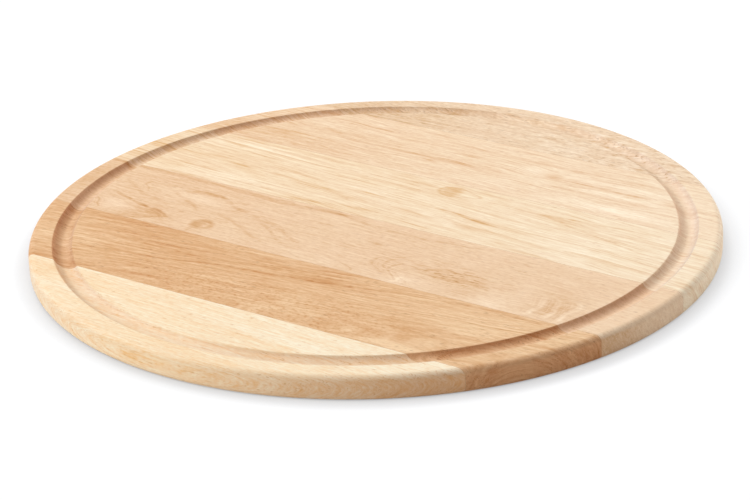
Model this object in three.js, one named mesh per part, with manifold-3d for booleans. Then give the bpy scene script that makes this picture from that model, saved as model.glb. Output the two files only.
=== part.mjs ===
// Round pizza board: hardwood staves glued edge to edge, then turned to a disc with rounded edges
// and a juice groove near its rim. Millimetres: +X runs along the grain, +Y across the staves, +Z up.
// The origin is the centre of the underside.
import * as THREE from "three";
import { mergeVertices } from "three/addons/utils/BufferGeometryUtils.js";
import Module from "manifold-3d";

// Driving dimensions of the turned board.
const BOARD_DIAMETER = 350;
const BOARD_THICKNESS = 12;
const TOP_EDGE_RADIUS = 3.5;
const BOTTOM_EDGE_RADIUS = 2.5;

// Driving dimensions of the juice groove, a cove of circular section.
const GROOVE_WIDTH = 10;
const GROOVE_DEPTH = 3;
const RIM_WIDTH = 12; // from the board's outer edge to the groove's outer lip

// Driving dimensions of the glued blank.
const STAVE_WIDTH = 59.8; // planed width of one stave
const GLUE_LINE = 0.2; // cured glue between two staves
const LAYUP_OFFSET = 2; // how far the middle joint lies behind the board's centre

// Fineness of the faceted surfaces.
const TURN_STEPS = 120;
const EDGE_STEPS = 4;
const GROOVE_STEPS = 8;

// Wood tones of the staves, from the middle joint outwards, and the glue's amber.
const FRONT_COLORS = [0xeac8a3, 0xe2b489, 0xf6dfbb];
const BACK_COLORS = [0xf4d6ae, 0xf1cfa9, 0xedcba5];
const GLUE_COLOR = 0xc79a62;
const OILED_WOOD = { roughness: 0.55, metalness: 0 };
const CURED_GLUE = { roughness: 0.4, metalness: 0 };

const wasm = await Module();
wasm.setup();

const boardRadius = BOARD_DIAMETER / 2;
const stavePitch = STAVE_WIDTH + GLUE_LINE;

// Joints are counted from the middle one, 0, and a strip no wider than the rim stays part of its neighbour.
const jointReach = boardRadius - RIM_WIDTH;
const frontJoints = Math.floor((jointReach + LAYUP_OFFSET) / stavePitch);
const backJoints = Math.floor((jointReach - LAYUP_OFFSET) / stavePitch);

// Solids

// A closed geometry as a solid: only positions count, and the triangles that vanish on the turning axis go.
function toSolid(geometry) {
  geometry.deleteAttribute("normal");
  geometry.deleteAttribute("uv");
  const merged = mergeVertices(geometry);
  const corners = merged.index.array;
  const kept = [];
  for (let i = 0; i < corners.length; i += 3) {
    const [a, b, c] = corners.slice(i, i + 3);
    if (a !== b && b !== c && c !== a) kept.push(a, b, c);
  }
  const vertProperties = merged.attributes.position.array;
  return new wasm.Manifold(new wasm.Mesh({ numProp: 3, vertProperties, triVerts: new Uint32Array(kept) }));
}

function toGeometry(solid) {
  const { vertProperties, triVerts } = solid.getMesh();
  const geometry = new THREE.BufferGeometry();
  geometry.setAttribute("position", new THREE.BufferAttribute(vertProperties, 3));
  geometry.setIndex(new THREE.BufferAttribute(triVerts, 1));
  geometry.computeVertexNormals();
  return geometry;
}

// Turned profile

// Points on an arc about (radius, height), with angles from the outward direction, both ends included.
function arcPoints(radius, height, arcRadius, from, to, steps) {
  return Array.from({ length: steps + 1 }, (_, i) => {
    const angle = from + ((to - from) * i) / steps;
    return new THREE.Vector2(radius + arcRadius * Math.cos(angle), height + arcRadius * Math.sin(angle));
  });
}

// The groove's section from its outer lip, down through its floor and up to its inner lip.
function groovePoints() {
  const half = GROOVE_WIDTH / 2;
  const coveRadius = (half * half + GROOVE_DEPTH * GROOVE_DEPTH) / (2 * GROOVE_DEPTH);
  const centreHeight = BOARD_THICKNESS - GROOVE_DEPTH + coveRadius;
  const centreRadius = boardRadius - RIM_WIDTH - half;
  const reach = Math.atan2(half, coveRadius - GROOVE_DEPTH);
  const floor = -Math.PI / 2;
  return arcPoints(centreRadius, centreHeight, coveRadius, floor + reach, floor - reach, GROOVE_STEPS);
}

// A rounded edge: a quarter turn that ends on the outer face and starts or ends on a flat one.
function edgePoints(edgeRadius, height, from, to) {
  return arcPoints(boardRadius - edgeRadius, height, edgeRadius, from, to, EDGE_STEPS);
}

// Half the board's section, from the middle of the underside round the rim to the middle of the top.
function boardProfile() {
  const quarter = Math.PI / 2;
  return [
    new THREE.Vector2(0, 0),
    ...edgePoints(BOTTOM_EDGE_RADIUS, BOTTOM_EDGE_RADIUS, -quarter, 0),
    ...edgePoints(TOP_EDGE_RADIUS, BOARD_THICKNESS - TOP_EDGE_RADIUS, 0, quarter),
    ...groovePoints(),
    new THREE.Vector2(0, BOARD_THICKNESS),
  ];
}

function turnedBoard() {
  const lathe = new THREE.LatheGeometry(boardProfile(), TURN_STEPS);
  lathe.rotateX(Math.PI / 2);
  return toSolid(lathe);
}

// Glued blank

// The lines across the board where the wood in front of a joint ends and the wood behind it starts.
function gluedEdges(joint) {
  const place = LAYUP_OFFSET + joint * stavePitch;
  return { front: place - GLUE_LINE / 2, back: place + GLUE_LINE / 2 };
}

// The part of the board between two lines across it: one stave, or one film of glue.
function stripOf(board, front, back) {
  const outline = new THREE.Shape([
    new THREE.Vector2(-BOARD_DIAMETER, front),
    new THREE.Vector2(BOARD_DIAMETER, front),
    new THREE.Vector2(BOARD_DIAMETER, back),
    new THREE.Vector2(-BOARD_DIAMETER, back),
  ]);
  const slab = new THREE.ExtrudeGeometry(outline, { depth: BOARD_DIAMETER, bevelEnabled: false });
  slab.translate(0, 0, -boardRadius);
  return board.intersect(toSolid(slab));
}

function addPiece(group, name, solid, finish) {
  const mesh = new THREE.Mesh(toGeometry(solid), new THREE.MeshStandardMaterial(finish));
  mesh.name = name;
  group.add(mesh);
}

function addFrontStave(group, board, number) {
  const front = number > frontJoints ? -BOARD_DIAMETER : gluedEdges(-number).back;
  const solid = stripOf(board, front, gluedEdges(1 - number).front);
  const color = FRONT_COLORS[(number - 1) % FRONT_COLORS.length];
  addPiece(group, `stave_front_${number}`, solid, { color, ...OILED_WOOD });
}

function addBackStave(group, board, number) {
  const back = number > backJoints ? BOARD_DIAMETER : gluedEdges(number).front;
  const solid = stripOf(board, gluedEdges(number - 1).back, back);
  const color = BACK_COLORS[(number - 1) % BACK_COLORS.length];
  addPiece(group, `stave_back_${number}`, solid, { color, ...OILED_WOOD });
}

function addGlueLine(group, board, joint) {
  const { front, back } = gluedEdges(joint);
  const side = joint < 0 ? "front" : "back";
  const name = joint === 0 ? "glue_line_middle" : `glue_line_${side}_${Math.abs(joint)}`;
  addPiece(group, name, stripOf(board, front, back), { color: GLUE_COLOR, ...CURED_GLUE });
}

function pizzaBoard() {
  const group = new THREE.Group();
  group.name = "pizza_board";
  const board = turnedBoard();
  for (let number = 1; number <= frontJoints + 1; number++) {
    addFrontStave(group, board, number);
  }
  for (let number = 1; number <= backJoints + 1; number++) {
    addBackStave(group, board, number);
  }
  for (let joint = -frontJoints; joint <= backJoints; joint++) {
    addGlueLine(group, board, joint);
  }
  return group;
}

export default pizzaBoard();
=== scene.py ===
"""A round pizza board of glued hardwood staves with a juice groove, on a white studio floor."""

import math

import bmesh
import bpy
from mathutils import Matrix, Vector


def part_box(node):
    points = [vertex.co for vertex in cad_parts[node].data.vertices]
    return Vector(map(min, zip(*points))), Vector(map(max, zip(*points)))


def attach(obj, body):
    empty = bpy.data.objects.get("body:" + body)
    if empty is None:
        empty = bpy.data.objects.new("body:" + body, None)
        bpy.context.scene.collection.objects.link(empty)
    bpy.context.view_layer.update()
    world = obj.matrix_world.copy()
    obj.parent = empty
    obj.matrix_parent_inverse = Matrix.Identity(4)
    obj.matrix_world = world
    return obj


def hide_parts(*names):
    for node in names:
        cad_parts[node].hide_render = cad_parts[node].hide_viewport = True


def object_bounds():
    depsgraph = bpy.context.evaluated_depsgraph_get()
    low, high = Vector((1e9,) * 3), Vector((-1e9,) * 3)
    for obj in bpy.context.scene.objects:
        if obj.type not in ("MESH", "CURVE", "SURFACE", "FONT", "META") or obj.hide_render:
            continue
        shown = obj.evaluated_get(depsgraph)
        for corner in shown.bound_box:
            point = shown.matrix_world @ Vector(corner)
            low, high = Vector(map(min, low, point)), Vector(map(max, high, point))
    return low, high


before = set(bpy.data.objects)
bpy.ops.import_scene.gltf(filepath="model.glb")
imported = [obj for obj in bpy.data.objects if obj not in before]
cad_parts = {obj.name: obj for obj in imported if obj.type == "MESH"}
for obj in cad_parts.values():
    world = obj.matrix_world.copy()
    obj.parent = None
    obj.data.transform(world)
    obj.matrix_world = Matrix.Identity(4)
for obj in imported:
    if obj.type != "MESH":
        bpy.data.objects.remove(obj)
cad_low, cad_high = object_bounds()

MM = 0.001

# Sizes of the turned board, in metres. Its outline is the frame's own.
RADIUS = (cad_high.x - cad_low.x) / 2
THICKNESS = cad_high.z - cad_low.z
TOP_EDGE_RADIUS = 3.5 * MM
BOTTOM_EDGE_RADIUS = 2.5 * MM
RIM_WIDTH = 12 * MM
GROOVE_WIDTH = 10 * MM
GROOVE_DEPTH = 3 * MM
LIP_RADIUS = 0.6 * MM  # the groove's lips are eased by sanding
FLAT_MARGIN = 0.5 * MM  # a ring of points this far into each flat keeps its shading flat
TURN_STEPS = 360
EDGE_STEPS = 10
LIP_STEPS = 5
COVE_STEPS = 18
SHARP_EDGE = math.radians(35)
CUT_TOLERANCE = 1e-7  # points this close to a cut lie on it

# The photograph's camera, in its own 750 pixel wide frame.
PHOTO_WIDTH = 750
FOCAL_PIXELS = 2627.9
CAMERA_AZIMUTH = 35.17
CAMERA_ELEVATION = 23.78
CAMERA_ROLL = -2.26
CAMERA_DISTANCE = 1.3362
CENTRE_RIGHT_PIXELS = 0.75
CENTRE_UP_PIXELS = 6.8
SENSOR_MM = 36.0

# The lamps: degrees round from the camera and up, distance, width and height in metres, and watts.
LAMPS = {
    "key_left": (-90, 35, 4.0, 1.4, 1.4, 80.5),
    "high_back_left": (-158, 55, 4.0, 1.4, 1.4, 80.5),
    "high_right": (90, 55, 4.0, 1.4, 1.4, 22),
    "low_back_right": (135, 12, 2.4, 0.9, 0.9, 14),
    "low_front": (-38, 16, 4.0, 1.0, 0.5, 33),
    "low_right": (98, 4, 4.0, 1.0, 0.4, 27),
}

# The white surroundings and the floor.
AMBIENT = 0.1  # how strongly the surroundings light the board; they are seen at full strength
FLOOR_REACH = 4.0
FLOOR_COLOUR = (0.9, 0.9, 0.9, 1)  # for the light that it throws back on the board
FLOOR_SEEN = (0.2, 0.2, 0.2, 1)  # as it is seen, with the glow on top
FLOOR_GLOW = (0.835, 0.84, 0.85, 1)
CONTACT_REACH = 12 * MM  # the glow is shaded where the board is this near
CONTACT_SHADE = 0.6

# The pieces, from the front of the board to its back.
STAVES = ("stave_front_3", "stave_front_2", "stave_front_1", "stave_back_1", "stave_back_2", "stave_back_3")
GLUE_LINES = (
    "glue_line_front_2",
    "glue_line_front_1",
    "glue_line_middle",
    "glue_line_back_1",
    "glue_line_back_2",
)


# Shapes


def arc(centre, radius, start, end, steps):
    """Points of an arc in the (radius, height) plane, from one angle to another, both ends included."""
    turns = [start + (end - start) * i / steps for i in range(steps + 1)]
    return [(centre[0] + radius * math.cos(a), centre[1] + radius * math.sin(a)) for a in turns]


def groove_section():
    """The groove from its outer flat to its inner flat: an eased lip, a round cove and an eased lip."""
    half = GROOVE_WIDTH / 2
    cove_radius = (half**2 + GROOVE_DEPTH**2) / (2 * GROOVE_DEPTH)
    cove = (RADIUS - RIM_WIDTH - half, THICKNESS - GROOVE_DEPTH + cove_radius)
    drop = cove_radius - GROOVE_DEPTH + LIP_RADIUS
    reach = math.sqrt((cove_radius + LIP_RADIUS) ** 2 - drop**2)
    lip_height = THICKNESS - LIP_RADIUS
    lean = math.atan2(drop, reach)
    up = math.pi / 2
    return [
        *arc((cove[0] + reach, lip_height), LIP_RADIUS, up, math.pi - lean, LIP_STEPS),
        *arc(cove, cove_radius, -lean, lean - math.pi, COVE_STEPS)[1:-1],
        *arc((cove[0] - reach, lip_height), LIP_RADIUS, lean, up, LIP_STEPS),
    ]


def board_section():
    """Half the board's section, from the middle of the underside round the rim to the middle of the top."""
    quarter = math.pi / 2
    low_edge = (RADIUS - BOTTOM_EDGE_RADIUS, BOTTOM_EDGE_RADIUS)
    high_edge = (RADIUS - TOP_EDGE_RADIUS, THICKNESS - TOP_EDGE_RADIUS)
    groove = groove_section()
    return [
        (0, 0),
        (low_edge[0] - FLAT_MARGIN, 0),
        *arc(low_edge, BOTTOM_EDGE_RADIUS, -quarter, 0, EDGE_STEPS),
        *arc(high_edge, TOP_EDGE_RADIUS, 0, quarter, EDGE_STEPS),
        (high_edge[0] - FLAT_MARGIN, THICKNESS),
        (groove[0][0] + FLAT_MARGIN, THICKNESS),
        *groove,
        (groove[-1][0] - FLAT_MARGIN, THICKNESS),
        (0, THICKNESS),
    ]


def turned_board():
    """The whole disc as one closed mesh."""
    disc = bmesh.new()
    section = board_section()
    turns = [2 * math.pi * i / TURN_STEPS for i in range(TURN_STEPS)]
    rings = [
        [disc.verts.new((r * math.cos(a), r * math.sin(a), z)) for a in turns]
        for r, z in section[1:-1]
    ]
    bottom = disc.verts.new((0, 0, section[0][1]))
    top = disc.verts.new((0, 0, section[-1][1]))
    for i in range(TURN_STEPS):
        j = (i + 1) % TURN_STEPS
        disc.faces.new((bottom, rings[0][j], rings[0][i]))
        for low, high in zip(rings, rings[1:]):
            disc.faces.new((low[i], low[j], high[j], high[i]))
        disc.faces.new((top, rings[-1][i], rings[-1][j]))
    return disc


def cut_across(piece, y, keep_behind):
    """Cuts a mesh along a line across the board, keeps one side and closes the cut."""
    cut = bmesh.ops.bisect_plane(
        piece,
        geom=[*piece.verts, *piece.edges, *piece.faces],
        dist=CUT_TOLERANCE,
        plane_co=(0, y, 0),
        plane_no=(0, 1, 0),
        clear_inner=keep_behind,
        clear_outer=not keep_behind,
    )
    edges = [e for e in cut["geom_cut"] if isinstance(e, bmesh.types.BMEdge)]
    bmesh.ops.holes_fill(piece, edges=edges, sides=0)


def strip_object(name, disc, node, material):
    """The part of the disc between a CAD node's front and back planes, which stands for that node."""
    low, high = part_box(node)
    strip = disc.copy()
    if low.y > cad_low.y + MM:
        cut_across(strip, low.y, keep_behind=True)
    if high.y < cad_high.y - MM:
        cut_across(strip, high.y, keep_behind=False)
    bmesh.ops.recalc_face_normals(strip, faces=strip.faces)
    for face in strip.faces:
        face.smooth = True
    for edge in strip.edges:
        edge.smooth = edge.calc_face_angle(0) < SHARP_EDGE
    mesh = bpy.data.meshes.new(name)
    strip.to_mesh(mesh)
    strip.free()
    mesh.materials.append(material)
    piece = bpy.data.objects.new(name, mesh)
    bpy.context.scene.collection.objects.link(piece)
    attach(piece, "root")
    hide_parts(node)
    return piece


# Shader formulas


class Field:
    """A number that varies from place to place: a shader node's output. Arithmetic on fields adds nodes."""

    def __init__(self, tree, socket):
        self.tree = tree
        self.socket = socket

    def math(self, operation, *others):
        node = self.tree.nodes.new("ShaderNodeMath")
        node.operation = operation
        for place, value in zip(node.inputs, (self, *others)):
            feed(self.tree, place, value)
        return Field(self.tree, node.outputs["Value"])

    def __add__(self, other):
        return self.math("ADD", other)

    def __sub__(self, other):
        return self.math("SUBTRACT", other)

    def __rsub__(self, other):
        return self * -1 + other

    def __mul__(self, other):
        return self.math("MULTIPLY", other)

    def __truediv__(self, other):
        return self.math("DIVIDE", other)

    __radd__ = __add__
    __rmul__ = __mul__

    def exp(self):
        return self.math("EXPONENT")

    def root(self):
        return self.math("SQRT")

    def size(self):
        return self.math("ABSOLUTE")

    def rise(self, low, high):
        """0 below low, 1 above high and a smooth step between them. With low above high it falls."""
        node = self.tree.nodes.new("ShaderNodeMapRange")
        node.interpolation_type = "SMOOTHSTEP"
        feed(self.tree, node.inputs["Value"], self)
        node.inputs["From Min"].default_value = low
        node.inputs["From Max"].default_value = high
        return Field(self.tree, node.outputs["Result"])


def feed(tree, place, value):
    """Links a field or a socket to an input, or sets the input to a number or colour."""
    if isinstance(value, Field):
        tree.links.new(value.socket, place)
    elif isinstance(value, bpy.types.NodeSocket):
        tree.links.new(value, place)
    else:
        place.default_value = value


def noise(x, y, z, detail=2.0, roughness=0.5):
    """Smooth noise at a point, about -1 to 1 round a mean of 0."""
    tree = x.tree
    point = tree.nodes.new("ShaderNodeCombineXYZ")
    for place, value in zip(point.inputs, (x, y, z)):
        feed(tree, place, value)
    texture = tree.nodes.new("ShaderNodeTexNoise")
    texture.inputs["Scale"].default_value = 1
    texture.inputs["Detail"].default_value = detail
    texture.inputs["Roughness"].default_value = roughness
    tree.links.new(point.outputs["Vector"], texture.inputs["Vector"])
    return Field(tree, texture.outputs["Fac"]) * 2 - 1


def noise_along(w):
    """Smooth noise along a line, about -1 to 1 round a mean of 0."""
    texture = w.tree.nodes.new("ShaderNodeTexNoise")
    texture.noise_dimensions = "1D"
    texture.inputs["Scale"].default_value = 1
    texture.inputs["Detail"].default_value = 1
    texture.inputs["Roughness"].default_value = 0.5
    feed(w.tree, texture.inputs["W"], w)
    return Field(w.tree, texture.outputs["Fac"]) * 2 - 1


def grain(x, y, z, size, detail, roughness=0.5):
    """Smooth noise drawn out to a size in millimetres: along the fibres, across them and up."""
    return noise(x / size[0], y / size[1], z / size[2], detail, roughness)


def hump(x, y, at, reach):
    """A smooth hill of height 1 at a place on the board, with its reach along and across the grain."""
    dx = (x - at[0]) / reach[0]
    dy = (y - at[1]) / reach[1]
    return ((dx * dx + dy * dy) * -1).exp()


def linear(colour):
    """A colour as seen on a screen, 0 to 1, in the light-linear numbers that shaders take."""
    return tuple(c / 12.92 if c <= 0.04045 else ((c + 0.055) / 1.055) ** 2.4 for c in colour) + (1.0,)


def mixed(tree, share, first, second):
    """One colour going over into another by a share from 0 to 1, and on beyond either."""
    node = tree.nodes.new("ShaderNodeMix")
    node.data_type = "RGBA"
    node.clamp_factor = False
    feed(tree, node.inputs["Factor"], share)
    feed(tree, node.inputs[6], first)
    feed(tree, node.inputs[7], second)
    return node.outputs[2]


def tinted(tree, share, colour, tint):
    """A colour dyed by a tint, by a share from 0 to 1."""
    node = tree.nodes.new("ShaderNodeMix")
    node.data_type = "RGBA"
    node.blend_type = "MULTIPLY"
    feed(tree, node.inputs["Factor"], share)
    feed(tree, node.inputs[6], colour)
    feed(tree, node.inputs[7], tint)
    return node.outputs[2]


def new_material(name):
    """A material, its node tree and its main shader."""
    material = bpy.data.materials.new(name)
    material.use_nodes = True
    tree = material.node_tree
    return material, tree, tree.nodes["Principled BSDF"]


def grain_axes(tree):
    """Millimetres along the grain, across the staves and up."""
    place = tree.nodes.new("ShaderNodeTexCoord").outputs["Object"]
    split = tree.nodes.new("ShaderNodeSeparateXYZ")
    tree.links.new(place, split.inputs["Vector"])
    return [Field(tree, out) * (1 / MM) for out in split.outputs]


# Wood

# Heights in millimetres: the top face, where painted shade comes in below it on the side and the groove,
# and where rings come in on the side.
TOP = THICKNESS / MM
SHADE_FADE = (11, 9.5)
SIDE_FADE = (8.8, 7.5)

# Sizes of the grain's features in millimetres: along the fibres, across them and up.
BAND_SIZE = (140, 9, 20)
STREAK_SIZE = (45, 1.6, 4)
WISP_SIZE = (13, 1.0, 3)
FLECK_SIZE = (3, 1.7, 1.7)
FIBRE_SIZE = (7, 0.45, 0.45)
VESSEL_SIZE = (26, 2.2, 4)
PORE_SIZE = (4, 0.5, 0.5)
BLUSH_SIZE = (45, 13, 13)

# The share of the deep colour against the pale one.
PLAIN_SHARE = 0.45
FIBRE_SHARE = 0.35
PALING_LENGTH = 700  # millimetres to the right over which the share falls by 1
SHARE_LIMITS = (-0.4, 1.7)
# Stains here include the figures' painted shade.
STAIN_AND_SHADE_MARK = 0.4  # how far the strongest stains go over to the dark colour
STRAY_PORES = 0.15  # how strong the pores are outside the bands of vessels

# The oiled surface.
ROUGHNESS = 0.6
ROUGHNESS_SPREAD = 0.08
SPECULAR = 0.15
BUMP_STRENGTH = 0.15
BUMP_HEIGHT = 0.1 * MM

# Growth lines, with their lengths in millimetres.
LINE_LEVEL = 0.12  # a line runs where its noise has this value
LINE_WIDTH = 1.5
LINE_DEPTH = 0.7
LINE_STRENGTH = 1.1
WAVER = 1.2  # how much a drawn line's strength varies along it
WAVER_LENGTH = 6
END_FADE = 0.2  # the share of a drawn line's length over which each end fades
BESIDE_SPACING = 2.4
BESIDE_WIDTH = 0.2
BESIDE_REACH = (9, 1.5)
BESIDE_DEPTH = 0.45
STRETCH_LENGTH = 38
STRETCH_WIDTH = 7
STRETCH_EDGE = 0.22

# Tints of cut faces, partly painted shade: painted shade in the groove, oiled end grain and painted shade
# on faces that look right, and painted shade and sheen, darker and greyer, on faces that look left.
# They are matched to the photograph, so they hold some of its light and shade.
# Painted shade in the groove.
GROOVE_SHADE_TINT = (0.92, 0.86, 0.85, 1.0)
# Oiled end grain and painted shade on faces that look right.
RIGHT_END_GRAIN_AND_SHADE_TINT = (0.72, 0.47, 0.32, 1.0)
# Painted shade and sheen on faces that look left, in the groove and on the side: darker and greyer.
LEFT_FACE_SHADE_AND_SHEEN_TINT = (0.65, 0.66, 0.78, 1.0)
LEFT_GROOVE_SHADE_AND_SHEEN_SHARE = 1.0
LEFT_SIDE_SHADE_AND_SHEEN_SHARE = 0.6
HOLLOW_FADE = (0.1, 1.2)  # millimetres below the top over which the groove's tint comes in
LIP_MARGIN = 2  # millimetres beyond the groove's outer lip where the rim starts for the tints
BLUSH_TINT = (0.985, 0.965, 0.955, 1.0)


def lines(along, spacing, width):
    """Dark lines at uneven distances along a measure: 1 on a line and 0 between them."""
    return (noise_along(along / spacing) - LINE_LEVEL).size().rise(width, 0)


def broken(x, along):
    """1 on stretches of the grain and 0 on others, so that a line comes and goes along its length."""
    stretches = noise(x / STRETCH_LENGTH, along / STRETCH_WIDTH, 0, detail=1)
    return stretches.rise(-STRETCH_EDGE, STRETCH_EDGE)


def oval(x, y, at, reach):
    """How far a point lies from a place: 0 there, and 1 on the oval of the given reach along and across."""
    dx = (x - at[0]) / reach[0]
    dy = (y - at[1]) / reach[1]
    return (dx * dx + dy * dy).root()


def course(along, places):
    """The height of a smooth curve through a few places, each given as (distance along, height)."""
    start, end = places[0][0], places[-1][0]
    low = min(height for _, height in places)
    high = max(height for _, height in places)
    node = along.tree.nodes.new("ShaderNodeFloatCurve")
    curve = node.mapping.curves[0]
    spots = [((a - start) / (end - start), (height - low) / (high - low)) for a, height in places]
    curve.points[0].location = spots[0]
    curve.points[1].location = spots[-1]
    for spot in spots[1:-1]:
        curve.points.new(*spot)
    node.mapping.update()
    feed(along.tree, node.inputs["Value"], (along - start) / (end - start))
    return Field(along.tree, node.outputs["Value"]) * (high - low) + low


def drawn(along, across, places, width=LINE_WIDTH):
    """A growth line through a few places, about 1 high, with fainter ones beside it. Its ends fade."""
    start, end = places[0][0], places[-1][0]
    fade = (end - start) * END_FADE
    aside = across - course(along, places)
    near = aside.size().rise(*BESIDE_REACH)
    beside = lines(aside + start * 7, BESIDE_SPACING, BESIDE_WIDTH) * near * BESIDE_DEPTH
    strength = LINE_STRENGTH + noise_along(along / WAVER_LENGTH + start) * WAVER
    line = aside.size().rise(width, 0) * strength + beside
    return line * along.rise(start, start + fade) * along.rise(end, end - fade)


def drawn_all(along, across, curves, width=LINE_WIDTH):
    """Growth lines together, each given as its strength and its places."""
    drawings = [drawn(along, across, places, width) * strength for strength, *places in curves]
    return sum(drawings) * LINE_DEPTH


def patches(x, y, places):
    """Soft dark or, where the strength is below 0, pale patches: strength, place and reach of each."""
    return sum(hump(x, y, at, reach) * strength for strength, at, reach in places)


def drift(x, y, z, length, width, reach):
    """A slow wander of the grain, in millimetres."""
    return noise(x / length, y / width, z / width, detail=1) * (2 * reach)


def cut_wood_shade_and_sheen(tree, colour, x, y, z, tone):
    """Deepens a colour with painted shade in the groove, with oiled end grain and painted shade where faces
    look right, and greys it with painted shade and sheen where they look left, as far as the photograph
    shows it.
    """
    normal = tree.nodes.new("ShaderNodeTexCoord").outputs["Normal"]
    split = tree.nodes.new("ShaderNodeSeparateXYZ")
    tree.links.new(normal, split.inputs["Vector"])
    inside = ((RADIUS - RIM_WIDTH) / MM + LIP_MARGIN - (x * x + y * y).root()).rise(0, 1)
    hollow = (TOP - z).rise(*HOLLOW_FADE) * inside
    # Painted shade in the groove.
    colour = tinted(tree, hollow * tone["groove"], colour, GROOVE_SHADE_TINT)
    right = Field(tree, split.outputs["X"])
    # Oiled end grain and painted shade where faces look right.
    end_grain_and_shade_share = inside * (tone["groove_end_grain_and_shade"] - tone["side_end_grain_and_shade"]) + tone["side_end_grain_and_shade"]
    colour = tinted(tree, right * end_grain_and_shade_share, colour, RIGHT_END_GRAIN_AND_SHADE_TINT)
    # Painted shade and sheen where faces look left.
    shade_and_sheen_share = inside * (LEFT_GROOVE_SHADE_AND_SHEEN_SHARE - LEFT_SIDE_SHADE_AND_SHEEN_SHARE) + LEFT_SIDE_SHADE_AND_SHEEN_SHARE
    return tinted(tree, right * -1 * shade_and_sheen_share, colour, LEFT_FACE_SHADE_AND_SHEEN_TINT)


def wood_material(name, tone, figure):
    """Solid hardwood: figure gives the growth lines, stains and, for two staves, painted shade of one
    stave, tone its colours.
    """
    material, tree, shader = new_material(name)
    x, y, z = grain_axes(tree)
    # The stains include painted shade on the foremost and the third stave.
    growth, stains_and_shade = figure(x, y, z)
    bands = grain(x, growth, z, BAND_SIZE, detail=2)
    streaks = grain(x, growth, z, STREAK_SIZE, detail=4, roughness=0.6)
    wisps = grain(x, growth, z, WISP_SIZE, detail=3, roughness=0.65)
    flecks = grain(x, y, z, FLECK_SIZE, detail=2, roughness=0.6)
    fibres = grain(x, y, z, FIBRE_SIZE, detail=1)
    vessels = grain(x, growth, z, VESSEL_SIZE, detail=1).rise(-0.1, 0.35)
    crowd = vessels * (1 - STRAY_PORES) + STRAY_PORES
    pores = grain(x, y, z, PORE_SIZE, detail=0).rise(0.22, 0.48) * crowd
    blush = grain(x, y, z, BLUSH_SIZE, detail=2).rise(-0.35, 0.35)
    share = PLAIN_SHARE + bands * tone["banding"] + streaks * tone["streaking"] + wisps * tone["wisps"]
    share = share + flecks * tone["flecks"] + fibres * FIBRE_SHARE + stains_and_shade - x / PALING_LENGTH
    share = share.math("MAXIMUM", SHARE_LIMITS[0]).math("MINIMUM", SHARE_LIMITS[1])
    wood = mixed(tree, share, linear(tone["pale"]), linear(tone["deep"]))
    marks = pores * tone["pores"] + (stains_and_shade - 0.5).rise(0, 1) * STAIN_AND_SHADE_MARK
    marked = mixed(tree, marks, wood, linear(tone["dark"]))
    colour = tinted(tree, blush, marked, BLUSH_TINT)
    tree.links.new(cut_wood_shade_and_sheen(tree, colour, x, y, z, tone), shader.inputs["Base Color"])
    feed(tree, shader.inputs["Roughness"], fibres * ROUGHNESS_SPREAD + ROUGHNESS)
    shader.inputs["Specular IOR Level"].default_value = SPECULAR
    bump = tree.nodes.new("ShaderNodeBump")
    bump.inputs["Strength"].default_value = BUMP_STRENGTH
    bump.inputs["Distance"].default_value = BUMP_HEIGHT
    feed(tree, bump.inputs["Height"], fibres * 0.5 - pores)
    tree.links.new(bump.outputs["Normal"], shader.inputs["Normal"])
    return material


def cream_figure(x, y, z):
    """The foremost stave: pale and straight, with rings on its side; browner at its front and its right,
    partly its own tone and partly painted shade.
    """
    rise = z - TOP / 2
    growth = y + x * 0.05 + rise * rise * 0.18 + drift(x, y, z, 90, 30, 1)
    rings = lines(growth, 0.7, 0.3) * z.rise(*SIDE_FADE) * 0.12
    # Browner front: partly the stave's own tone, partly painted shade on the groove and side, more to the
    # right.
    front = y.rise(-152, -174) * (0.25 + x.rise(30, 90) * 0.5)
    # Painted shade on the groove and side of the right part.
    flank_shade = z.rise(*SHADE_FADE) * x.rise(60, 95) * 0.45
    return growth, lines(growth, 5, 0.12) * broken(x, growth) * 0.3 + rings + front + flank_shade


BROWN_CURVES = (
    (0.5, (-138, -69.3), (-120, -66), (-100, -62), (-86, -59)),
    (0.55, (-123, -82), (-93, -79.5), (-57, -78.5), (-23, -73.5), (0, -70), (30, -67), (60, -61)),
    (0.6, (-117, -92), (-83, -91), (-63, -89), (-43, -83), (-10, -79), (17, -75), (43, -69), (88, -60)),
    (0.35, (-87, -106), (-57, -103), (-33, -100), (0, -97)),
    (0.5, (83, -61.5), (117, -60.5), (141, -63.5)),
)
BROWN_PATCHES = (
    (0.3, (-110, -60), (60, 5)),
    (-0.35, (-140, -88), (32, 24)),
    (0.4, (16, -73), (11, 4)),
    (0.3, (-82, -69), (14, 4)),
    (0.5, (87, -94), (14, 8)),
    (-0.7, (88, -114), (18, 5)),
    (-0.3, (105, -78), (45, 18)),
)


def brown_figure(x, y, z):
    """The second stave: growth rings round a pith below it, cut to long streaks that rise to the right."""
    across = y + 98 - (x - 145) * 0.13 + drift(x, y, z, 90, 20, 2)
    deep = z + 6
    growth = (across * across + deep * deep).root()
    upper = across.rise(6, 22)
    streaks = lines(growth, 5, 0.12) * broken(x, growth) * upper * 0.5
    dots = noise(x / 2.4, y / 1.5, z / 1.5, detail=2).rise(-0.05, 0.4)
    speckle = dots * (y - x * 0.05).rise(-80, -98) * x.rise(100, 60) * x.rise(-110, -30) * 0.55
    rings = lines(growth, 1.6, 0.3) * z.rise(*SIDE_FADE) * 0.3
    wander = drift(x, y, z, 30, 9, 0.7)
    curves = drawn_all(x, y + wander, BROWN_CURVES)
    return growth, streaks + speckle + curves + patches(x, y, BROWN_PATCHES) + rings


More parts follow.
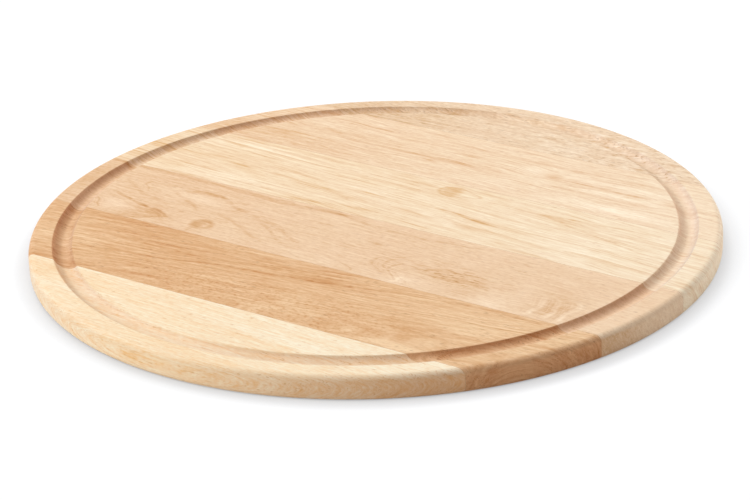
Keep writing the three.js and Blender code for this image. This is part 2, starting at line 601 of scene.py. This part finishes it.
ROSE_LONG_CURVES = (
    (0.5, (-115, -18.6), (-107, -15), (-100, -12.8), (-92, -12.3),
     (-80, -16.5), (-72, -20.7), (-63, -21.8)),
    (0.35, (-117, -17.6), (-110, -21), (-104, -24), (-97, -27), (-91, -31), (-85, -35.5)),
    (0.35, (-150, -16.5), (-142, -20.7), (-134, -25), (-125, -29.7), (-110, -31.5)),
    (0.4, (-66, -23.5), (-59, -25.5), (-39, -30), (-23, -39.7), (-10, -42.5)),
    (0.35, (-54, -29), (-42, -34), (-32, -41.8), (-22, -47)),
    (0.4, (-84, -32.5), (-76, -32.8), (-67, -34.4), (-59, -38.6), (-49, -43.4), (-37, -49), (-26, -52)),
    (0.35, (-34, -1.8), (-22, -1), (-14, -3), (0, -4.8), (10, -6.3),
     (30, -6.2), (49, -4.8), (64, -2.9), (78, -1.5)),
    (0.4, (44, -37), (53, -37.6), (57, -36), (60, -33.9), (66, -31.8), (74, -32.3), (90, -31)),
    (0.4, (54, -39), (63, -40.7), (70, -41.3), (79, -39.2), (88, -40), (98, -43)),
    (0.35, (-112, -43), (-106, -45), (-100, -48)),
)
ROSE_CROSS_CURVES = (
    (0.35, (-26, -127), (-21, -130), (-17.6, -134), (-15.5, -133.7), (-12, -127)),
    (0.5, (-52, 41), (-47.6, 34), (-43, 27.4), (-38, 26.3), (-33.9, 30), (-30.7, 35.3), (-25, 45)),
    (0.4, (-57, 50), (-52, 46), (-47, 40), (-42, 38), (-37, 41), (-33, 47)),
    (0.35, (-58, 58), (-54, 54), (-50, 47.5), (-46, 44), (-42, 46), (-39, 52)),
    (0.45, (-46.5, 42), (-42.3, 34.2), (-37.6, 32.6), (-32.8, 36.3), (-30, 44)),
    (0.45, (-58, 21), (-55, 22.3), (-52, 19), (-49, 9)),
    (0.7, (-54.5, -136.6), (-53.4, -137.4), (-50.7, -140), (-46.5, -142), (-43, -148)),
)
ROSE_PALE_CURVES = (
    (-0.65, (-58, 123), (-54, 123.7), (-46.5, 124.2), (-40, 123.2), (-33, 119.5)),
    (-0.7, (-58, 132), (-54, 132.6), (-46.5, 133.2), (-41, 131.6), (-38, 131), (-33, 124.5)),
    (-0.7, (-58, 139), (-55, 139.5), (-44, 140), (-38, 141), (-32, 136)),
    (-0.5, (-57, 47), (-54, 49), (-51, 48.5), (-48.5, 52)),
)
ROSE_PATCHES = (
    (-0.3, (-94, -20.5), (17, 4.5)),
    (0.3, (-93, -13), (9, 2)),
    (0.5, (-68, -22), (5.5, 1.6)),
    (0.3, (-96, -28.5), (6, 2.5)),
    (0.4, (-77.5, -55), (1.6, 3)),
    (0.6, (17, -22.5), (5, 2)),
    (0.4, (-20, -15.5), (7, 1.6)),
    (0.2, (-24, -1.5), (8, 2)),
    (0.3, (74, -38), (20, 6)),
    (0.25, (84, -50), (13, 8)),
    (0.08, (100, -18), (60, 14)),
    (-0.4, (100, -53), (9, 5)),
    (-0.35, (52, -51), (8, 4)),
    (0.75, (132, -43), (11, 12)),
    (-0.5, (-130, -46), (12, 8)),
    (0.3, (-168, -28), (9, 22)),
)
ROSE_BAND = (
    (-160, 0.9), (-130, 0.3), (-100, -0.6), (-75, -1.9),
    (-50, -3.1), (-38, -2.5), (-22, -1), (0, -4.7),
)
WEDGE_TOP = (
    (-150, -31.5), (-146, -32.8), (-134, -36), (-123, -40),
    (-114, -41.8), (-105, -42.8), (-97, -47.6), (-90, -50.5),
)
WEDGE_BASE = ((-130, -61), (-120, -58), (-109, -55), (-103, -51.8), (-97, -47.6), (-92, -45))


def rose_figure(x, y, z):
    """The third stave: flat-sawn, with an eye, a knot, a wedge, a swirl, arches and a brown band, and
    painted shade on the side and groove at its right end.
    """
    u = x + drift(x, y, z, 15, 6, 0.9)
    v = y + drift(x + 500, y, z, 15, 6, 0.6)
    bend = hump(u, v, at=(-93, -21), reach=(30, 9)) * 4 + hump(u, v, at=(66, -41), reach=(34, 13)) * 6
    growth = v + bend + drift(x, y, z, 26, 9, 1.2) + (z - TOP) * 0.4
    pupil = oval(u, v, at=(-74.7, -46), reach=(7.2, 6.2))
    notch = hump(x, y, at=(-72.5, -47.5), reach=(1.8, 2.6))
    knot = pupil.rise(1.2, 0.6) * (0.6 + pupil * 0.25 - notch * 0.7)
    top = course(u, WEDGE_TOP)
    inside = (top - v).rise(-0.5, 1.5) * (v - course(u, WEDGE_BASE)).rise(-1, 2) * u.rise(-96.5, -99)
    filling = inside * u.rise(-140, -112) * 0.35
    wedge = filling + drawn(u, v, WEDGE_TOP) * 0.6 + drawn(u, v, WEDGE_BASE) * 0.4
    band = (v - course(u, ROSE_BAND)).size().rise(3, 0.6) * u.rise(5, -30) * 0.4
    # Painted shade on the side and groove at the right end.
    flank_shade = z.rise(*SHADE_FADE) * x.rise(156, 163) * y.rise(-15, -58) * 0.75
    curves = drawn_all(u, v, ROSE_LONG_CURVES, width=2.2) + drawn_all(v, u, ROSE_CROSS_CURVES)
    arches = drawn_all(v, u, ROSE_PALE_CURVES, width=2.6)
    dashes = noise(x / 6, y / 1.2, z / 1.2, detail=1).rise(0.08, 0.35)
    swirl = dashes * hump(u, v, at=(74, -37), reach=(24, 8)) * 0.9
    return growth, curves + arches + swirl + patches(u, v, ROSE_PATCHES) + knot + wedge + band + flank_shade


STRAW_CURVES = (
    (0.55, (66, 48.7), (74, 49.8), (92, 51), (110, 52), (142, 54)),
    (0.5, (68, 48.5), (75, 47.3), (92, 42.3), (113, 37.3), (140, 31)),
    (0.5, (10, 29.5), (27, 29), (42, 26), (60, 24)),
    (0.35, (32, 49.6), (50, 49), (66, 48.7)),
)
STRAW_PATCHES = (
    (0.75, (-48, 5.5), (11, 2)),
    (0.5, (-13, 10.5), (8, 1.8)),
    (0.6, (71, 48.7), (5, 1.7)),
    (0.25, (90, 47), (16, 4)),
    (0.4, (91, 14), (9, 1.6)),
    (0.4, (46, 25.3), (7, 1.6)),
    (-0.15, (112, 30), (50, 30)),
    (-0.3, (-92, 10), (45, 6)),
    (-0.3, (-100, 51), (50, 6)),
)


def straw_figure(x, y, z):
    """The fourth stave: straight streaks that fall to the right, one eye and a wedge at its right end."""
    growth = y + x * 0.06 + (z - TOP) * 0.7 + drift(x, y, z, 80, 16, 1.6)
    narrowing = 1 + (x - 14).rise(0, 16) * 1.4
    eye = oval(x, (y - 52) * narrowing, at=(18, 0), reach=(12.5, 6.6))
    pupil = eye.rise(1.15, 0.7) * x.rise(21, 15) * 0.75
    rim = (eye - 1).size().rise(0.2, 0) * 0.45
    clear = eye.rise(0.9, 1.5) * (1 - hump(x, y, at=(62, 44), reach=(50, 9)) * 0.7)
    streaks = lines(growth, 4.5, 0.2) * broken(x, growth) * 0.65
    wander = drift(x, y, z, 30, 9, 0.6)
    curves = drawn_all(x, y + wander, STRAW_CURVES)
    return growth, streaks * clear + curves + pupil + rim + patches(x, y + wander, STRAW_PATCHES)


HONEY_CURVES = (
    (0.6, (48, 93.5), (70, 93.3), (90, 92.5), (114, 92)),
    (0.55, (44, 83.5), (80, 83), (118, 82)),
    (0.4, (50, 107), (80, 107.5), (106, 106)),
)
HONEY_PATCHES = (
    (0.5, (49, 96), (4.5, 4)),
    (-0.4, (36, 99), (9, 4)),
    (-0.4, (88, 99.5), (33, 3)),
    (-0.4, (85, 87.5), (30, 2.4)),
    (-0.5, (100, 71), (30, 4)),
    (0.5, (-5, 99), (9, 1.6)),
    (0.45, (-10, 87), (22, 2.2)),
    (0.5, (-21, 83), (4, 2)),
    (0.4, (-87, 93), (14, 2)),
    (0.35, (-116, 78), (10, 2)),
    (0.3, (-130, 72), (90, 14)),
)


def honey_figure(x, y, z):
    """The fifth stave: wavy streaks with a swirl right of its middle."""
    swirl = hump(x, y, at=(44, 97), reach=(12, 6))
    growth = y + x * 0.01 + (z - TOP) * 0.6 + drift(x, y, z, 40, 12, 2) + swirl * 3
    streaks = lines(growth, 5, 0.16) * broken(x, growth) * 0.45
    wander = drift(x, y, z, 30, 9, 0.8)
    return growth, streaks + drawn_all(x, y + wander, HONEY_CURVES) + patches(x, y + wander, HONEY_PATCHES)


def tan_figure(x, y, z):
    """The hindmost stave: faint bands with dark pores and one dark spot in the groove."""
    growth = y + (z - TOP) * 0.5 + drift(x, y, z, 50, 14, 2)
    spots = noise(x / 4, y / 1.2, z / 1.2, detail=0).rise(0.3, 0.6) * (0.3 + x.rise(20, 60) * 0.5)
    spot = hump(x, y, at=(-48, 150), reach=(7, 4)) * 1.1
    warm = hump(x, y, at=(-80, 128), reach=(45, 14)) * 0.45
    mottle = noise(x / 9, y / 4, z / 4, detail=2) * (0.4 + x.rise(-40, 60) * 0.65)
    return growth, lines(growth, 6, 0.14) * broken(x, growth) * 0.4 + mottle + spots + spot + warm


# Each stave's colours as seen on a screen, the strength of its grain, and its shares of the tints: the
# groove share is painted shade in the groove, and the end shares are oiled end grain and painted shade, in
# the groove and on the side.
TONES = {
    "stave_front_3": {
        "pale": (0.995, 0.946, 0.842),
        "deep": (0.965, 0.84, 0.67),
        "dark": (0.86, 0.66, 0.42),
        "banding": 0.6,
        "streaking": 0.3,
        "wisps": 1.1,
        "flecks": 0.5,
        "pores": 0.6,
        "groove": 0.7,
        "groove_end_grain_and_shade": 0.8,
        "side_end_grain_and_shade": 1.0,
    },
    "stave_front_2": {
        "pale": (0.93, 0.785, 0.62),
        "deep": (0.84, 0.64, 0.445),
        "dark": (0.62, 0.40, 0.21),
        "banding": 0.25,
        "streaking": 0.95,
        "wisps": 1.05,
        "flecks": 0.36,
        "pores": 0.5,
        "groove": 0.4,
        "groove_end_grain_and_shade": 1.2,
        "side_end_grain_and_shade": 0.85,
    },
    "stave_front_1": {
        "pale": (0.97, 0.86, 0.735),
        "deep": (0.88, 0.72, 0.555),
        "dark": (0.66, 0.44, 0.26),
        "banding": 0.25,
        "streaking": 0.42,
        "wisps": 0.65,
        "flecks": 0.42,
        "pores": 0.3,
        "groove": 0.5,
        "groove_end_grain_and_shade": 0.85,
        "side_end_grain_and_shade": 0.05,
    },
    "stave_back_1": {
        "pale": (0.995, 0.925, 0.815),
        "deep": (0.92, 0.79, 0.63),
        "dark": (0.78, 0.56, 0.33),
        "banding": 0.2,
        "streaking": 0.9,
        "wisps": 0.85,
        "flecks": 0.18,
        "pores": 0.35,
        "groove": 0.7,
        "groove_end_grain_and_shade": 0.5,
        "side_end_grain_and_shade": 0.1,
    },
    "stave_back_2": {
        "pale": (0.995, 0.915, 0.805),
        "deep": (0.905, 0.76, 0.605),
        "dark": (0.76, 0.54, 0.33),
        "banding": 0.1,
        "streaking": 0.6,
        "wisps": 0.85,
        "flecks": 0.3,
        "pores": 0.35,
        "groove": 0.3,
        "groove_end_grain_and_shade": 0.7,
        "side_end_grain_and_shade": 0.0,
    },
    "stave_back_3": {
        "pale": (0.975, 0.89, 0.785),
        "deep": (0.89, 0.76, 0.615),
        "dark": (0.60, 0.42, 0.26),
        "banding": 0.12,
        "streaking": 0.4,
        "wisps": 0.9,
        "flecks": 0.6,
        "pores": 0.5,
        "groove": 0.0,
        "groove_end_grain_and_shade": 0.4,
        "side_end_grain_and_shade": 0.0,
    },
}
FIGURES = {
    "stave_front_3": cream_figure,
    "stave_front_2": brown_figure,
    "stave_front_1": rose_figure,
    "stave_back_1": straw_figure,
    "stave_back_2": honey_figure,
    "stave_back_3": tan_figure,
}


GLUE_PALE = (0.86, 0.70, 0.53)
GLUE_DEEP = (0.76, 0.56, 0.38)
GLUE_ROUGHNESS = 0.5
GLUE_SIZE = (12, 1, 1)


def glue_material():
    """Cured glue, a little darker on some stretches than on others."""
    material, tree, shader = new_material("glue")
    share = grain(*grain_axes(tree), GLUE_SIZE, detail=2) + 0.5
    colour = mixed(tree, share, linear(GLUE_PALE), linear(GLUE_DEEP))
    tree.links.new(colour, shader.inputs["Base Color"])
    shader.inputs["Roughness"].default_value = GLUE_ROUGHNESS
    return material


def make_board():
    """The staves and the films of glue between them, all cut from one turned disc."""
    disc = turned_board()
    for node in STAVES:
        piece = strip_object("turned_" + node, disc, node, wood_material(node, TONES[node], FIGURES[node]))
    glue = glue_material()
    for node in GLUE_LINES:
        piece = strip_object("flush_" + node, disc, node, glue)
    disc.free()


# Studio


def towards(azimuth, elevation):
    """The direction from the board to a place round it, in degrees as the views count them."""
    a, e = math.radians(azimuth), math.radians(elevation)
    return Vector((math.sin(a) * math.cos(e), -math.cos(a) * math.cos(e), math.sin(e)))


def make_camera():
    """The photograph's camera: it looks at the origin, which a lens shift puts off the picture's middle."""
    data = bpy.data.cameras.new("camera")
    data.sensor_fit = "HORIZONTAL"
    data.sensor_width = SENSOR_MM
    data.lens = SENSOR_MM * FOCAL_PIXELS / PHOTO_WIDTH
    data.shift_x = -CENTRE_RIGHT_PIXELS / PHOTO_WIDTH
    data.shift_y = -CENTRE_UP_PIXELS / PHOTO_WIDTH
    camera = bpy.data.objects.new("camera", data)
    bpy.context.scene.collection.objects.link(camera)
    back = towards(CAMERA_AZIMUTH, CAMERA_ELEVATION)
    turn = back.to_track_quat("Z", "Y").to_matrix().to_4x4()
    roll = Matrix.Rotation(math.radians(CAMERA_ROLL), 4, "Z")
    camera.matrix_world = Matrix.Translation(back * CAMERA_DISTANCE) @ turn @ roll
    bpy.context.scene.camera = camera


def softbox(name, azimuth, elevation, distance, width, height, power):
    """A rectangular lamp that faces the board."""
    data = bpy.data.lights.new(name, "AREA")
    data.shape = "RECTANGLE"
    data.size = width
    data.size_y = height
    data.energy = power
    lamp = bpy.data.objects.new(name, data)
    bpy.context.scene.collection.objects.link(lamp)
    back = towards(azimuth, elevation)
    turn = back.to_track_quat("Z", "Y").to_matrix().to_4x4()
    lamp.matrix_world = Matrix.Translation(back * distance) @ turn


def seen_directly(tree):
    """1 where the camera, a mirror or glass sees a surface, and 0 where the surface only lights others."""
    rays = tree.nodes.new("ShaderNodeLightPath")
    camera, glossy, through = [
        Field(tree, rays.outputs[name])
        for name in ("Is Camera Ray", "Is Glossy Ray", "Is Transmission Ray")
    ]
    return camera.math("MAXIMUM", glossy).math("MAXIMUM", through)


def make_floor():
    """A white floor that the board lies on, with a soft contact shadow."""
    mesh = bpy.data.meshes.new("floor")
    corners = [(x * FLOOR_REACH, y * FLOOR_REACH, 0) for x, y in ((-1, -1), (1, -1), (1, 1), (-1, 1))]
    mesh.from_pydata(corners, [], [(0, 1, 2, 3)])
    floor = bpy.data.objects.new("floor", mesh)
    bpy.context.scene.collection.objects.link(floor)
    material, tree, shader = new_material("floor")
    seen = seen_directly(tree)
    feed(tree, shader.inputs["Base Color"], mixed(tree, seen, FLOOR_COLOUR, FLOOR_SEEN))
    shader.inputs["Roughness"].default_value = 1.0
    shader.inputs["Specular IOR Level"].default_value = 0.0
    shader.inputs["Emission Color"].default_value = FLOOR_GLOW
    # Painted contact shadow: ambient occlusion darkens the glow near the board, beside the real shadow that
    # the floor keeps.
    near = tree.nodes.new("ShaderNodeAmbientOcclusion")
    near.inputs["Distance"].default_value = CONTACT_REACH
    open_sky = Field(tree, near.outputs["AO"])
    glow = open_sky * CONTACT_SHADE + (1 - CONTACT_SHADE)
    feed(tree, shader.inputs["Emission Strength"], seen * glow)
    mesh.materials.append(material)


def make_world():
    """White surroundings that light the board less than they show."""
    world = bpy.data.worlds.new("studio")
    world.use_nodes = True
    bpy.context.scene.world = world
    tree = world.node_tree
    background = tree.nodes["Background"]
    background.inputs["Color"].default_value = (1, 1, 1, 1)
    feed(tree, background.inputs["Strength"], seen_directly(tree) * (1 - AMBIENT) + AMBIENT)


def make_studio():
    """Camera, surroundings, floor and lamps."""
    make_camera()
    make_world()
    make_floor()
    for name, (turn, elevation, distance, width, height, power) in LAMPS.items():
        softbox(name, CAMERA_AZIMUTH + turn, elevation, distance, width, height, power)
    bpy.context.scene.view_settings.view_transform = "Standard"


make_studio()
make_board()
